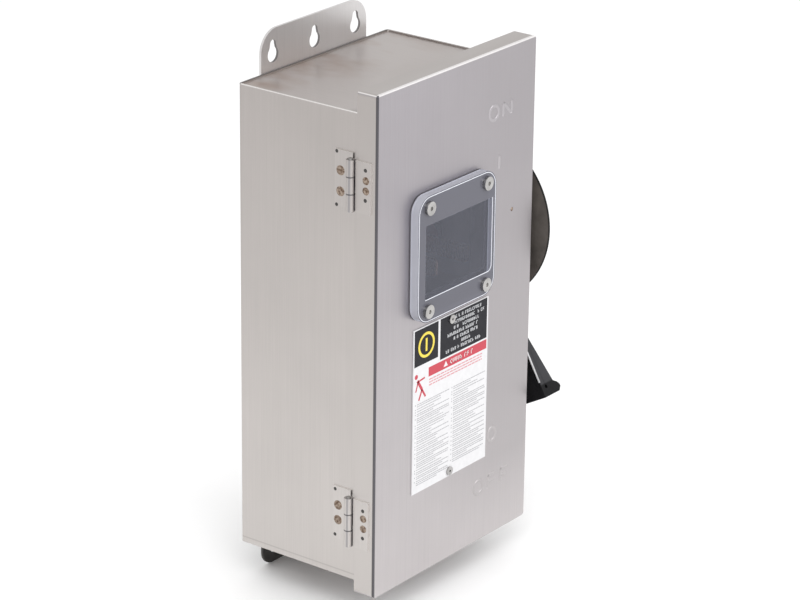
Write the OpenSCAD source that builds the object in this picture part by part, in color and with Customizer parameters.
// Fused disconnect switch: a stainless wall box with a hinged, windowed door,
// a side lever, a three-pole visible-blade switch and three pull-out fuses.
// +Z is up, +Y points into the wall, and the origin is the centre of the
// mounting plane, where the back strap lies against the wall.

/* [Enclosure] */
// Width of the box
box_w = 185; // [180:1:200]
// Height of the box
box_h = 381; // [378:1:400]
// Distance from the wall to the front lips of the box
box_front = 136; // [134:1:142]
// Thickness of the sheet steel
sheet = 1.6; // [1.2:0.1:2]
// Width of the lips around the front opening
lip_w = 16; // [14:1:18]

/* [Door] */
// How far the door overlaps each side of the box
door_side_lap = 7.5; // [7.2:0.1:8]
// How far the door stands above the box
door_top_lap = 19.8; // [14:0.1:22]
// How far the door hangs below the box
door_bottom_lap = 6.2; // [4:0.1:10]
// Depth of the folded edge of the door
door_edge = 19; // [17:0.5:20]
// Thickness of the foam gasket behind the door
gasket_t = 3.4; // [3:0.1:4]

/* [Window] */
// Width of the clear window plate
window_w = 99; // [96:1:104]
// Height of the clear window plate
window_h = 102; // [98:1:106]
// How far the window plate stands in front of the door, gasket included
window_proud = 8; // [6:0.5:9]
// Corner radius of the window plate
window_r = 14; // [8:1:18]

/* [Label] */
// Width of the label plate
label_w = 96.5; // [80:0.5:104]
// Height of the label plate
label_h = 137; // [120:1:145]

/* [Mounting flanges] */
// Width of the back strap and the lower bracket
flange_w = 130; // [124:1:140]
// Height of the strap and bracket, end to end
flange_h = 448; // [446:1:470]
// Distance between neighbouring hanging holes
hole_pitch = 50.8; // [48:0.1:52]
// Radius of the round end of a hanging hole
hang_r = 6.35; // [5:0.05:7]
// Radius of the lower fixing holes
foot_r = 4; // [3:0.1:5]

/* [Hinges] */
// Height of a hinge, three knuckles in all
hinge_h = 40.5; // [36:0.5:45]
// Distance of each hinge from the middle of the box
hinge_z = 137; // [120:1:145]
// Radius of a hinge knuckle
knuckle_r = 3.4; // [3:0.1:3.5]

/* [Latches] */
// Distance of each draw latch from the middle of the box
latch_z = 165; // [160:1:168]

/* [Handle] */
// Radius of the round hub plate
disc_r = 72; // [60:1:74]
// Reach of the lever from its pivot
lever_reach = 160; // [150:1:165]
// Forward lean of the lever when it is off, in degrees from straight down
lever_lean = 29.3; // [20:0.1:35]
// Distance of the pivot from the wall
pivot_depth = 78.5; // [77:0.5:82]
// Height of the pivot above the middle of the box
pivot_up = 47.5; // [44:0.5:50]

/* [Switch and fuses] */
// Distance between neighbouring poles
pole_pitch = 40; // [38:1:42]
// Radius of a fuse at its end caps
fuse_r = 10.3; // [9:0.1:10.5]
// Length of a fuse
fuse_l = 127; // [120:1:130]

/* [Hidden] */
$fn = 64;

// Box
strap_t = 2;
half_w = box_w / 2;
half_h = box_h / 2;
box_back = strap_t;
box_depth = box_front - box_back;
bend_r = 3;
inner_x = half_w - sheet;
cap_inset = 1.2;
lip_x = half_w - lip_w;

// Door
door_back_y = -(box_front + gasket_t);
door_front_y = door_back_y - sheet;
door_x = half_w + door_side_lap;
door_top = half_h + door_top_lap;
door_bottom = -half_h - door_bottom_lap;
door_mid_z = (door_top + door_bottom) / 2;
door_h = door_top - door_bottom;
door_rear_y = door_front_y + door_edge;

// Window: the plate, the opening behind it and its screws
window_x = -9.4;
window_z = 69.2;
window_gasket_t = 0.8;
opening_w = 85;
opening_h = 60;
opening_x = -7;
opening_z = 67;
screw_dx = 73.6;
screw_dz = 83;
window_screw_r = 2;
window_screws_at = [for (i = [-1, 1], k = [-1, 1])
    [window_x + i * screw_dx / 2, window_z + k * screw_dz / 2]];

// Label
label_x = -5;
label_z = -57;
label_t = 0.8;
rivet_r = 1.6;
rivets_at = [for (k = [-1, 1]) label_z + k * (label_h / 2 - 4.5)];

// Flanges
flange_r = 19;
bracket_r = 12;
hang_z = 203.2;
hang_rise = 8.3;
hang_small_r = 3.5;
foot_z = -212.5;
bracket_top = -165;
holes_x = [-hole_pitch, 0, hole_pitch];

// Hinges
hinge_t = 1.2;
hinge_groove = 1;
pin_r = 2;
pin_play = 0.05;
knuckle_gap = 0.2;
pin_x = -door_x - 1.6;
pin_y = door_rear_y + 4.6;
knuckle_h = hinge_h / 3;

// Draw latches, seen from above: A is the lever's pivot, B the hook's
latch_a = [half_w + 5.5, -105];
latch_b = [half_w + 8.9, -93.5];
latch_pin_r = 2;
hook_pin_r = 1.5;
hook_y = -131.4;
hook_rest = 6;
keeper_y = -129.6;

// Handle and its shaft
pivot_y = -pivot_depth;
pivot_z = pivot_up;
shaft_r = 8;
disc_x = half_w + 18.6;
disc_t = 1.6;
lever_x = disc_x + disc_t;
lever_t = 3;
grip_front = 6.6;
grip_back = 28;
grip_start = 72;
grip_flare = 0.215;
grip_end_w = 23;

// Switch
pole_mid = -10;
poles = [for (i = [-1, 0, 1]) pole_mid + i * pole_pitch];
pan_y = -16;
pan_t = 2;
base_y = pan_y - pan_t;
pan_holes = [for (i = [-1, 1], k = [-1, 1]) [i * 72, k * 162]];
blade_t = 3;
blade_w = 14;
blade_l = 52;
rotor_r = 9;
rotor_end = pole_mid + pole_pitch + 26;
bracket_x = rotor_end + 2;
bracket_t = 2;
jaw_y = -60;

// Interlock
catch_x = bracket_x + 9;
interlock_y = -105;
interlock_z = 86;
interlock_rest = 30;
interlock_l = 26;

// Fuses
fuse_y = -56;
fuse_mid_z = -60;
ferrule_l = 15;
clip_t = 1.2;
clip_gap = 0.35;
clip_h = 12;
block_y = -34;
clip_inset = 3;

// ---- Helpers ----

// A box between two limits on each axis
module span(x, y, z) {
    translate([x[0], y[0], z[0]])
        cube([x[1] - x[0], y[1] - y[0], z[1] - z[0]]);
}

// A rod along X, from x[0] to x[1]
module rod_x(r, x, y, z) {
    translate([x[0], y, z]) rotate([0, 90, 0]) cylinder(r = r, h = x[1] - x[0]);
}

// A rod along Y, from y[0] to y[1]
module rod_y(r, x, y, z) {
    translate([x, y[1], z]) rotate([90, 0, 0]) cylinder(r = r, h = y[1] - y[0]);
}

// A rod along Z, from z[0] to z[1]
module rod_z(r, x, y, z) {
    translate([x, y, z[0]]) cylinder(r = r, h = z[1] - z[0]);
}

// A flat rectangle with round corners, centred
module round_rect(w, h, r) {
    square([w - 2 * r, h], center = true);
    square([w, h - 2 * r], center = true);
    for (i = [-1, 1], k = [-1, 1])
        translate([i * (w / 2 - r), k * (h / 2 - r)]) circle(r);
}

// Raises a flat shape, drawn as seen from the front, from depth y towards the front
module upright(x, y, z, t) {
    translate([x, y, z]) rotate([90, 0, 0]) linear_extrude(t) children();
}

// A hexagon nut or head along Y, measured across its flats
module hex_y(flats, x, y, z) {
    translate([x, y[1], z]) rotate([90, 0, 0])
        cylinder(d = flats / cos(30), h = y[1] - y[0], $fn = 6);
}

// ---- Enclosure ----

// Back, sides and side lips, folded from one sheet
module enclosure_wrap() {
    color("silver") difference() {
        translate([0, -(box_back + box_depth / 2), -half_h]) linear_extrude(box_h)
            difference() {
                round_rect(box_w, box_depth, bend_r);
                round_rect(box_w - 2 * sheet, box_depth - 2 * sheet, bend_r - sheet);
                translate([-lip_x, -box_depth / 2 - 1]) square([2 * lip_x, box_depth / 2]);
            }
        rod_x(11, [inner_x - 1, half_w + 1], pivot_y, pivot_z);
    }
}

// An end plate set just inside the wrap, with a lip that closes the front frame; side is 1 at the
// top and -1 at the bottom
module end_cap(side) {
    lip_h = lip_w - cap_inset;
    color("silver") {
        translate([0, -(box_back + box_depth / 2), side * (half_h - cap_inset - sheet / 2) - sheet / 2])
            linear_extrude(sheet) round_rect(2 * inner_x, box_depth - 2 * sheet, bend_r - sheet);
        translate([0, 0, side * (half_h - cap_inset - lip_h / 2)])
            span([-lip_x, lip_x], [-box_front, -box_front + sheet + 1], [-lip_h / 2, lip_h / 2]);
    }
}

// A hanging hole: a round end that tapers up into a narrower one. The taper's corners lie just
// inside both circles, so the round end keeps its full curve below them.
module hang_hole() {
    shoulder = 0.7 * hang_r;
    neck = 0.98 * hang_small_r;
    circle(hang_r);
    translate([0, hang_rise]) circle(hang_small_r);
    polygon([[-shoulder, shoulder], [shoulder, shoulder], [neck, hang_rise], [-neck, hang_rise]]);
}

// A flat plate whose far corners have radius r; it runs from near to far along the flat Y axis
module tab_shape(near, far, r) {
    rise = abs(far - near);
    turn = far > near ? 0 : 180;
    translate([0, near]) rotate(turn) {
        translate([-flange_w / 2, 0]) square([flange_w, rise - r]);
        translate([-flange_w / 2 + r, 0]) square([flange_w - 2 * r, rise]);
        for (i = [-1, 1]) translate([i * (flange_w / 2 - r), rise - r]) circle(r);
    }
}

// The strap on the back of the box, which ends in the upper flange
module back_strap() {
    color("lightgray") upright(0, 0, 0, strap_t) difference() {
        tab_shape(bracket_top, flange_h / 2, flange_r);
        for (x = holes_x) translate([x, hang_z]) hang_hole();
    }
}

// The dark bracket that holds the bottom of the box
module bottom_bracket() {
    color("dimgray") difference() {
        upright(0, 0, 0, strap_t) tab_shape(bracket_top, -flange_h / 2, bracket_r);
        for (x = holes_x) rod_y(foot_r, x, [-strap_t - 1, 1], foot_z);
    }
}

// ---- Hinges ----

// The box half of a hinge: a leaf, the arm that reaches the pin, and the middle knuckle
module hinge_body_leaf(z) {
    leaf_half = hinge_h / 2 + 2;
    knuckle_half = knuckle_h / 2 - knuckle_gap;
    color("gray") translate([0, 0, z]) difference() {
        union() {
            span([-half_w - hinge_t, -half_w], [pin_y + 4, pin_y + 21], [-leaf_half, leaf_half]);
            span([pin_x, -half_w], [pin_y + 1.7, pin_y + 4.2], [-knuckle_half, knuckle_half]);
            rod_z(knuckle_r, pin_x, pin_y, [-knuckle_half, knuckle_half]);
        }
        rod_z(pin_r + pin_play, pin_x, pin_y, [-hinge_h, hinge_h]);
    }
}

// The door half of a hinge, with the two outer knuckles; their arms lie in a groove behind the leaf
module hinge_door_leaf(z) {
    leaf_x = -door_x - hinge_t;
    leaf_y = [pin_y - 18.5, door_rear_y + 0.4];
    half = knuckle_h / 2;
    color("gray") translate([0, 0, z]) difference() {
        union() {
            span([leaf_x, -door_x], leaf_y, [-hinge_h / 2, hinge_h / 2]);
            for (k = [-1, 1]) translate([0, 0, k * knuckle_h]) {
                span([leaf_x + hinge_groove, -door_x + 1.3], [door_rear_y, pin_y], [-half, half]);
                rod_z(knuckle_r, pin_x, pin_y, [-half, half]);
            }
        }
        rod_z(pin_r, pin_x, pin_y, [-hinge_h, hinge_h]);
    }
}

module hinge_pins() {
    reach = hinge_h / 2 + 0.8;
    color("gainsboro") for (k = [-1, 1]) translate([0, 0, k * hinge_z])
        rod_z(pin_r, pin_x, pin_y, [-reach, reach]);
}

// ---- Door ----

// A pan with folded edges and an opening for the window
module door() {
    through = [door_front_y - 1, door_back_y + 1];
    color("silver") difference() {
        upright(0, door_rear_y, door_mid_z, door_edge) round_rect(2 * door_x, door_h, bend_r);
        upright(0, door_rear_y + 1, door_mid_z, door_edge + 1 - sheet)
            round_rect(2 * (door_x - sheet), door_h - 2 * sheet, bend_r - sheet);
        upright(opening_x, door_back_y + 1, opening_z, sheet + 2) round_rect(opening_w, opening_h, 4);
        for (p = window_screws_at) rod_y(window_screw_r, p[0], through, p[1]);
        for (z = rivets_at) rod_y(rivet_r, label_x, through, z);
    }
}

// The foam ring that seals the door against the lips
module door_gasket() {
    color("dimgray") upright(0, -box_front, 0, gasket_t) difference() {
        round_rect(box_w - 3, box_h - 3, 4);
        round_rect(2 * lip_x + 3, box_h - 2 * lip_w + 3, 4);
    }
}

module window_plate() {
    color("lightsteelblue", 0.5) difference() {
        upright(window_x, door_front_y - window_gasket_t, window_z, window_proud - window_gasket_t)
            round_rect(window_w, window_h, window_r);
        for (p = window_screws_at)
            rod_y(window_screw_r, p[0], [door_front_y - window_proud - 1, door_front_y], p[1]);
    }
}

module window_gasket() {
    color("black") difference() {
        upright(window_x, door_front_y, window_z, window_gasket_t) difference() {
            round_rect(window_w - 1, window_h - 1, window_r);
            translate([opening_x - window_x, opening_z - window_z])
                round_rect(opening_w + 1, opening_h + 1, 4);
        }
        for (p = window_screws_at)
            rod_y(window_screw_r, p[0], [door_front_y - 2, door_front_y + 1], p[1]);
    }
}

// Round-headed screws through the window plate, gasket and door
module window_screws() {
    color("gainsboro") for (p = window_screws_at) {
        face_y = door_front_y - window_proud;
        rod_y(window_screw_r, p[0], [face_y - 0.5, door_back_y + 5.5], p[1]);
        difference() {
            rod_y(5.5, p[0], [face_y - 2.6, face_y], p[1]);
            rod_y(1.6, p[0], [face_y - 3.6, face_y - 1.2], p[1]);
        }
    }
}

module window_nuts() {
    color("gainsboro") for (p = window_screws_at) difference() {
        hex_y(7, p[0], [door_back_y, door_back_y + 3.2], p[1]);
        rod_y(window_screw_r, p[0], [door_back_y - 1, door_back_y + 4.2], p[1]);
    }
}

module label_plate() {
    color("white") difference() {
        upright(label_x, door_front_y, label_z, label_t) square([label_w, label_h], center = true);
        for (z = rivets_at) rod_y(rivet_r, label_x, [door_front_y - 2, door_front_y + 1], z);
    }
}

// Hollow rivets that hold the label
module label_rivets() {
    color("gainsboro") for (z = rivets_at) {
        face_y = door_front_y - label_t;
        difference() {
            union() {
                rod_y(3.6, label_x, [face_y - 1.2, face_y], z);
                rod_y(rivet_r, label_x, [face_y - 1, door_back_y], z);
                rod_y(2.6, label_x, [door_back_y, door_back_y + 1.5], z);
            }
            rod_y(0.9, label_x, [face_y - 2, face_y + 1], z);
        }
    }
}

// ---- Draw latches ----

// Puts a latch part at each latch height
module at_latches() {
    for (k = [-1, 1]) translate([0, 0, k * latch_z]) children();
}

module latch_bases() {
    color("silver") at_latches() difference() {
        union() {
            span([half_w, half_w + 1.6], [-113, -66], [-14, 14]);
            for (k = [-1, 1]) translate([0, 0, k * 11]) {
                span([half_w + 1, latch_a[0]], [latch_a[1] - 4, latch_a[1] + 4], [-1, 1]);
                rod_z(4, latch_a[0], latch_a[1], [-1, 1]);
            }
        }
        rod_z(latch_pin_r, latch_a[0], latch_a[1], [-20, 20]);
    }
}

module latch_pivot_pins() {
    color("gainsboro") at_latches() rod_z(latch_pin_r, latch_a[0], latch_a[1], [-13, 13]);
}

// Two cheeks that turn on the pivot pin, joined by the finger plate, with the hook's pin
module latch_lever(z) {
    plate_x = half_w + 10.4;
    color("silver") translate([0, 0, z]) {
        difference() {
            union() {
                for (k = [-1, 1]) translate([0, 0, k * 7]) linear_extrude(2, center = true) {
                    translate(latch_a) circle(3.6);
                    translate(latch_b) circle(3);
                    polygon([
                        [latch_a[0] - 3.2, latch_a[1] + 1.6],
                        [latch_a[0] + 3.2, latch_a[1] - 1.6],
                        [plate_x + 1.6, latch_b[1] - 1],
                        [plate_x + 1.6, latch_b[1] + 9],
                        [plate_x, latch_b[1] + 9]
                    ]);
                }
                span([plate_x, plate_x + 1.6], [latch_b[1] + 7.5, latch_b[1] + 30], [-8, 8]);
            }
            rod_z(latch_pin_r + pin_play, latch_a[0], latch_a[1], [-20, 20]);
        }
        rod_z(hook_pin_r, latch_b[0], latch_b[1], [-8.6, 8.6]);
    }
}

// The hook that pulls the keeper on the door, drawn from its pin. It rests swung clear of the
// keeper, and its arm steps out by step so that it passes the door's edge.
module latch_hook(z) {
    step = 2.9;
    reach = hook_y - latch_b[1];
    color("silver") translate([latch_b[0], latch_b[1], z - 5]) rotate(hook_rest) linear_extrude(10)
        difference() {
            union() {
                circle(2.8);
                polygon([
                    [-0.8, 0],
                    [-0.8, -16.5],
                    [-0.8 + step, -20.5],
                    [-0.8 + step, reach],
                    [-2.7 + step, reach],
                    [-2.7 + step, reach - 1.6],
                    [0.8 + step, reach - 1.6],
                    [0.8 + step, -19.5],
                    [0.8, -15.5],
                    [0.8, 0]
                ]);
            }
            circle(hook_pin_r + pin_play);
        }
}

module latch_keepers() {
    color("silver") at_latches() {
        span([door_x, door_x + 1.2], [keeper_y - 7, keeper_y + 5], [-8, 8]);
        span([door_x + 1.2, door_x + 3], [keeper_y - 1, keeper_y + 1], [-6, 6]);
    }
}

// ---- Handle ----

// Stands a lever part, drawn pointing straight down, at the pivot with its off lean
module at_lever() {
    translate([0, pivot_y, pivot_z]) rotate([-lever_lean, 0, 0]) children();
}

module shaft_bushing() {
    color("goldenrod") difference() {
        union() {
            rod_x(11, [half_w - 10, half_w + 1], pivot_y, pivot_z);
            rod_x(16, [half_w, half_w + 3], pivot_y, pivot_z);
        }
        rod_x(shaft_r + pin_play, [half_w - 11, half_w + 4], pivot_y, pivot_z);
    }
}

module bushing_nut() {
    color("gainsboro") difference() {
        translate([inner_x - 5, pivot_y, pivot_z]) rotate([0, 90, 0]) cylinder(d = 34, h = 5, $fn = 6);
        rod_x(11, [inner_x - 6, inner_x + 1], pivot_y, pivot_z);
    }
}

module shaft_seal() {
    color("black") translate([half_w + 4.2, pivot_y, pivot_z]) rotate([0, 90, 0])
        rotate_extrude() translate([shaft_r + pin_play + 1.2, 0]) circle(1.2, $fn = 24);
}

// The round hub plate with the collar that spaces it from the box
module handle_disc() {
    color("dimgray") difference() {
        union() {
            rod_x(disc_r, [disc_x, lever_x], pivot_y, pivot_z);
            rod_x(13, [half_w + 6, disc_x + 1], pivot_y, pivot_z);
        }
        rod_x(shaft_r, [half_w, lever_x + 1], pivot_y, pivot_z);
    }
}

// Outline of the lever's flat web: a round boss that runs down into the grip
module lever_web_shape() {
    circle(22);
    polygon([
        [-20, -8],
        [grip_front, -grip_start],
        [grip_front, -lever_reach],
        [grip_back, -lever_reach],
        [grip_back, -grip_start],
        [22, 0]
    ]);
}

// Side view of a grip wall: it widens away from the box towards the end
module grip_wall_shape() {
    wide = grip_flare * (lever_reach - 10 - grip_start);
    polygon([
        [0, -grip_start],
        [wide, -lever_reach + 10],
        [grip_end_w - 2, -lever_reach + 7.5],
        [grip_end_w, -lever_reach + 5],
        [grip_end_w, -lever_reach + 3],
        [grip_end_w - 3, -lever_reach],
        [0, -lever_reach]
    ]);
}

// Raises the grip's side view from distance y, thickness t towards the back
module grip_wall(y, t) {
    translate([lever_x, y + t, 0]) rotate([90, 0, 0]) linear_extrude(t) grip_wall_shape();
}

// The cast lever: a flat web with walls around the grip, open to the outside
module handle_lever() {
    grip_x = [lever_x, lever_x + grip_end_w];
    color("#3a3a3c") at_lever() difference() {
        union() {
            translate([lever_x, 0, 0]) rotate([90, 0, 90]) linear_extrude(lever_t) lever_web_shape();
            grip_wall(grip_front, 3);
            grip_wall(grip_back - 3, 3);
            intersection() {
                grip_wall(grip_front, grip_back - grip_front);
                span(grip_x, [grip_front, grip_back], [-lever_reach, -lever_reach + 5]);
            }
        }
        rod_x(shaft_r, [lever_x - 1, lever_x + lever_t + 1], 0, 0);
        rod_y(1.5, lever_x + 6, [grip_front - 1, grip_front + 4], -lever_reach + 8);
    }
}

module handle_shaft() {
    color("silver") difference() {
        rod_x(shaft_r, [bracket_x - 1.6, lever_x + lever_t], pivot_y, pivot_z);
        rod_x(3, [disc_x - 8, lever_x + lever_t + 1], pivot_y, pivot_z);
    }
}

// The bolt and washer that hold the lever on its shaft
module handle_bolt() {
    head_x = lever_x + lever_t;
    color("gainsboro") {
        rod_x(11, [head_x, head_x + 1.6], pivot_y, pivot_z);
        rod_x(3, [disc_x - 6, head_x + 1], pivot_y, pivot_z);
        translate([head_x + 1.6, pivot_y, pivot_z]) rotate([0, 90, 0])
            cylinder(d = 13 / cos(30), h = 5, $fn = 6);
    }
}

// The cam inside the box that the spring throws over centre
module drive_cam() {
    cam_x = bracket_x + 5;
    color("gray") difference() {
        union() {
            rod_x(15, [cam_x, cam_x + 4], pivot_y, pivot_z);
            translate([0, pivot_y, pivot_z]) {
                span([cam_x, cam_x + 4], [-6, 24], [-6, 6]);
                rod_x(3, [cam_x - 1.5, cam_x + 9], 20, 0);
            }
        }
        rod_x(shaft_r, [cam_x - 1, cam_x + 5], pivot_y, pivot_z);
    }
}

// ---- Switch ----

module mounting_pan() {
    color("lightgray") difference() {
        upright(0, pan_y, 0, pan_t) round_rect(160, 346, 6);
        for (p = pan_holes) rod_y(3, p[0], [base_y - 1, pan_y + 1], p[1]);
    }
}

// Threaded studs on the back of the box, with shoulders that space the pan
module pan_studs() {
    color("gainsboro") for (p = pan_holes) {
        rod_y(5, p[0], [pan_y, -box_back - sheet], p[1]);
        rod_y(3, p[0], [pan_y - 9, pan_y + 1], p[1]);
    }
}

module pan_nuts() {
    color("gainsboro") for (p = pan_holes) difference() {
        hex_y(10, p[0], [base_y - 5, base_y], p[1]);
        rod_y(3, p[0], [base_y - 6, base_y + 1], p[1]);
    }
}

// The moulded base behind the jaws and lugs, with barriers between the poles
module switch_base() {
    low_z = 74;
    top_z = 154;
    base_x = [poles[0] - pole_pitch / 2, poles[2] + pole_pitch / 2];
    color("#2b2b2e") {
        span(base_x, [jaw_y + 3, base_y], [low_z, top_z]);
        for (i = [0 : 3])
            translate([pole_mid + (i - 1.5) * pole_pitch, 0, 0])
                span([-1.5, 1.5], [-100, base_y - 1], [low_z, top_z]);
    }
}

// Stationary contacts: each is a U of two spring plates and a strap up to its lug
module line_jaws() {
    color("peru") for (x = poles) translate([x, 0, 0]) {
        for (k = [-1, 1]) translate([k * 2.5, 0, 0]) span([-0.7, 0.7], [-90, jaw_y + 1], [84, 104]);
        span([-3.2, 3.2], [jaw_y + 0.5, jaw_y + 3], [84, 104]);
        span([-6, 6], [jaw_y + 0.5, jaw_y + 3], [103, 152]);
    }
}

// Arc chutes: side plates and a roof around each jaw, open to the blade's path
module arc_chutes() {
    color("#8a8478") for (x = poles) translate([x, 0, 0]) {
        for (k = [-1, 1]) translate([k * 9, 0, 0]) span([-1, 1], [-112, jaw_y + 3], [80, 108]);
        difference() {
            span([-10, 10], [-112, -64], [107, 110]);
            for (i = [0 : 4]) translate([0, -106 + i * 9, 0]) span([-6, 6], [-1.5, 1.5], [100, 120]);
        }
    }
}

// A terminal block with a wire bore along Z and a clamping screw from the front
module lug(x, z, back_y) {
    translate([x, 0, z]) difference() {
        span([-7, 7], [back_y - 15, back_y], [-8, 8]);
        rod_z(4, 0, back_y - 7, [-9, 9]);
        rod_y(3.5, 0, [back_y - 16, back_y - 10], 0);
    }
}

// The clamping screw of such a block, with its slot
module lug_screw(x, z, back_y) {
    translate([x, 0, z]) difference() {
        rod_y(3.5, 0, [back_y - 18, back_y - 10.8], 0);
        span([-0.6, 0.6], [back_y - 19, back_y - 16.6], [-4, 4]);
    }
}

module line_lugs() {
    color("silver") for (x = poles) lug(x, 142, jaw_y + 0.5);
}

module line_lug_screws() {
    color("gray") for (x = poles) lug_screw(x, 142, jaw_y + 0.5);
}

// The clear cover over the line terminals
module line_shield() {
    color("lightblue", 0.4) {
        span([poles[0] - 21, poles[2] + 21], [-103, -101], [114, 170]);
        span([poles[0] - 21, poles[2] + 21], [-101, base_y], [168, 170]);
    }
}

// The steel bracket that carries the shaft's inner end and the interlock's pin
module mechanism_bracket() {
    color("lightgray") {
        difference() {
            union() {
                span([bracket_x, bracket_x + bracket_t], [-112, base_y], [14, 100]);
                span([bracket_x, bracket_x + 14], [base_y - bracket_t, base_y], [14, 36]);
            }
            rod_x(shaft_r + pin_play, [bracket_x - 1, bracket_x + bracket_t + 1], pivot_y, pivot_z);
        }
        rod_x(2.5, [bracket_x + 1, catch_x + 5], interlock_y, interlock_z);
    }
}

// The two posts that the rotor turns in
module rotor_bearings() {
    color("#2b2b2e") for (x = [poles[0] - 22, poles[2] + 22]) translate([x, 0, 0]) difference() {
        union() {
            span([-2.5, 2.5], [pivot_y, base_y], [pivot_z - 9, pivot_z + 9]);
            rod_x(9, [-2.5, 2.5], pivot_y, pivot_z);
        }
        rod_x(5 + pin_play, [-3.5, 3.5], pivot_y, pivot_z);
    }
}

// The insulating bar that carries the blades, with a journal at each end
module rotor_bar() {
    color("#b0463a") difference() {
        union() {
            rod_x(rotor_r, [poles[0] - 19, poles[2] + 19], pivot_y, pivot_z);
            rod_x(5, [poles[0] - 26, rotor_end], pivot_y, pivot_z);
        }
        for (x = poles) translate([x, pivot_y, pivot_z])
            span([-blade_t / 2, blade_t / 2], [-rotor_r - 1, rotor_r + 1], [-blade_w / 2, blade_w / 2]);
    }
}

// Blades point at the door when off and turn up into the jaws
module switch_blades() {
    color("peru") for (x = poles) translate([x - blade_t / 2, pivot_y, pivot_z]) rotate([90, 0, 90])
        linear_extrude(blade_t) {
            translate([-blade_l + 4, -blade_w / 2]) square([blade_l - 4 + rotor_r, blade_w]);
            translate([-blade_l + 4, 0]) intersection() {
                circle(blade_w / 2);
                translate([-4, -blade_w / 2]) square([4, blade_w]);
            }
        }
}

// A point on the toggle spring's coil, a fraction f along it
function coil_point(f) = [
    inner_x - 18.2 + 12 * f,
    pivot_y + 12.5 * cos(360 * 4 * f),
    pivot_z + 12.5 * sin(360 * 4 * f)
];

// One ring of the spring wire around such a point
function coil_ring(f) = [for (i = [0 : 5])
    let (turn = 360 * 4 * f, out = 1.2 * cos(60 * i))
    coil_point(f) + [1.2 * sin(60 * i), out * cos(turn), out * sin(turn)]
];

// The coiled spring around the shaft
module toggle_spring() {
    steps = 72;
    rings = [for (s = [0 : steps]) coil_ring(s / steps)];
    points = [for (ring = rings) each ring];
    sides = [for (s = [0 : steps - 1], i = [0 : 5])
        [6 * s + i, 6 * s + (i + 1) % 6, 6 * s + 6 + (i + 1) % 6, 6 * s + 6 + i]];
    first = [[for (i = [5 : -1 : 0]) i]];
    last = [[for (i = [0 : 5]) 6 * steps + i]];
    color("gray") polyhedron(points, concat(sides, first, last), convexity = 10);
}

// Copper straps from the rotor's contacts down to the fuse clips
module load_straps() {
    color("peru") for (x = poles) translate([x, 0, 0]) {
        span([-6, 6], [pivot_y + 13, pivot_y + 15.5], [10, 62]);
        span([-6, 6], [pivot_y + 15, block_y], [10, 12.5]);
    }
}

// ---- Fuses ----

clip_zs = [fuse_mid_z + fuse_l / 2 - clip_inset - clip_h, fuse_mid_z - fuse_l / 2 + clip_inset];

module fuse_block() {
    color("#2b2b2e") {
        span([poles[0] - 18, poles[2] + 18], [block_y, base_y], [-150, 10]);
        for (i = [1, 2])
            translate([pole_mid + (i - 1.5) * pole_pitch, 0, 0])
                span([-1.5, 1.5], [-62, block_y + 1], [-150, 10]);
    }
}

// A fuse clip: a half ring with straight arms, on a post
module fuse_clip(x, z) {
    inner = fuse_r + clip_gap;
    outer = inner + clip_t;
    translate([x, fuse_y, z]) linear_extrude(clip_h) {
        difference() {
            union() {
                circle(outer);
                translate([-outer, -9]) square([2 * outer, 9]);
            }
            circle(inner);
            translate([-inner, -outer - 10]) square([2 * inner, outer + 10]);
        }
        translate([-5, outer - 0.4]) square([10, block_y - fuse_y - outer + 0.4]);
    }
}

module line_fuse_clips() {
    color("darkgoldenrod") for (x = poles) fuse_clip(x, clip_zs[0]);
}

module load_fuse_clips() {
    color("darkgoldenrod") for (x = poles) fuse_clip(x, clip_zs[1]);
}

// A cartridge fuse with an end cap at each end
module fuse(x) {
    color("tan") translate([x, fuse_y, fuse_mid_z]) rotate_extrude() polygon([
        [0, -fuse_l / 2],
        [fuse_r, -fuse_l / 2],
        [fuse_r, -fuse_l / 2 + ferrule_l],
        [fuse_r - 0.8, -fuse_l / 2 + ferrule_l],
        [fuse_r - 0.8, fuse_l / 2 - ferrule_l],
        [fuse_r, fuse_l / 2 - ferrule_l],
        [fuse_r, fuse_l / 2],
        [0, fuse_l / 2]
    ]);
}

module load_lugs() {
    color("silver") for (x = poles) lug(x, -139, block_y);
}

module load_lug_screws() {
    color("gray") for (x = poles) lug_screw(x, -139, block_y);
}

// The grounding bar on the pan, bored for its wires
module ground_bar() {
    color("silver") difference() {
        span([50, 76], [base_y - 13, base_y], [-126, -112]);
        for (x = [56, 70]) {
            rod_z(3, x, base_y - 6, [-130, -110]);
            rod_y(2.5, x, [base_y - 14, base_y - 8.5], -119);
        }
    }
}

module ground_screws() {
    color("forestgreen") for (x = [56, 70]) difference() {
        rod_y(2.5, x, [base_y - 16, base_y - 9.2], -119);
        span([x - 0.5, x + 0.5], [base_y - 17, base_y - 15], [-122, -116]);
    }
}

// ---- Interlock ----

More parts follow.
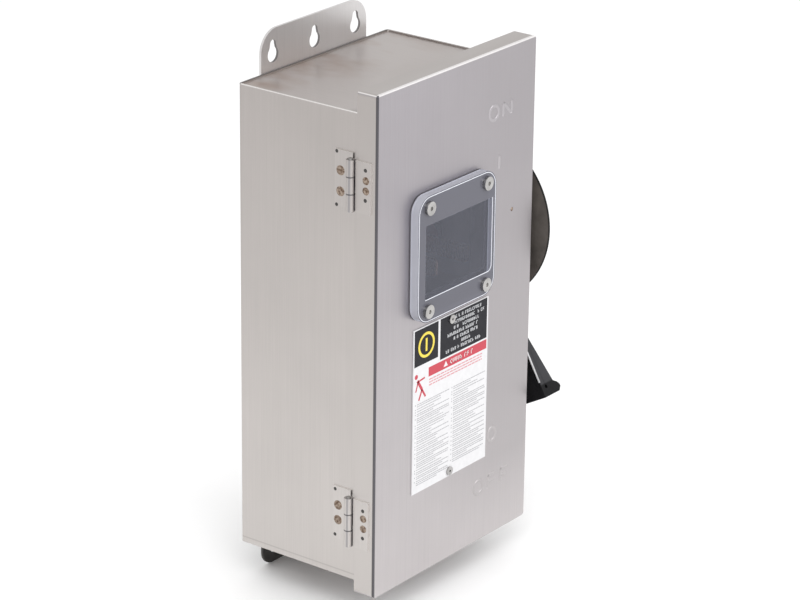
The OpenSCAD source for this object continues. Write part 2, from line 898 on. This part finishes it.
// The lever that rises behind the door's catch when the switch is on
module interlock_lever() {
    color("gray") translate([catch_x, interlock_y, interlock_z]) rotate([interlock_rest, 0, 0])
        difference() {
            union() {
                rod_x(5, [0, 3], 0, 0);
                span([0, 3], [-interlock_l, 0], [-2.5, 2.5]);
                span([0, 3], [-interlock_l, -interlock_l + 3.5], [-2.5, 9]);
            }
            rod_x(2.5 + pin_play, [-1, 4], 0, 0);
        }
}

// The catch on the back of the door
module interlock_catch() {
    lip_y = interlock_y - interlock_l + 5.5;
    color("gray") {
        span([catch_x - 3, catch_x + 7], [door_back_y, door_back_y + 1.6], [97, 115]);
        span([catch_x - 3, catch_x + 7], [door_back_y, lip_y + 1.6], [100, 101.6]);
        span([catch_x - 3, catch_x + 7], [lip_y, lip_y + 1.6], [92, 101.6]);
    }
}

enclosure_wrap();
end_cap(1);  // top_end_cap
end_cap(-1);  // bottom_end_cap
back_strap();
bottom_bracket();
hinge_body_leaf(hinge_z);  // upper_hinge_body_leaf
hinge_body_leaf(-hinge_z);  // lower_hinge_body_leaf
latch_bases();
latch_pivot_pins();
shaft_bushing();
bushing_nut();
shaft_seal();
mounting_pan();
pan_studs();
pan_nuts();
switch_base();
line_jaws();
arc_chutes();
line_lugs();
line_lug_screws();
line_shield();
mechanism_bracket();
rotor_bearings();
toggle_spring();
load_straps();
fuse_block();
line_fuse_clips();
load_fuse_clips();
load_lugs();
load_lug_screws();
ground_bar();
ground_screws();
door();
door_gasket();
window_plate();
window_gasket();
window_screws();
window_nuts();
label_plate();
label_rivets();
hinge_door_leaf(hinge_z);  // upper_hinge_door_leaf
hinge_door_leaf(-hinge_z);  // lower_hinge_door_leaf
hinge_pins();
latch_keepers();
interlock_catch();
handle_disc();
handle_lever();
handle_shaft();
handle_bolt();
drive_cam();
rotor_bar();
switch_blades();
interlock_lever();
latch_lever(latch_z);  // upper_latch_lever
latch_hook(latch_z);  // upper_latch_hook
latch_lever(-latch_z);  // lower_latch_lever
latch_hook(-latch_z);  // lower_latch_hook
fuse(poles[0]);  // fuse_left
fuse(poles[1]);  // fuse_centre
fuse(poles[2]);  // fuse_right
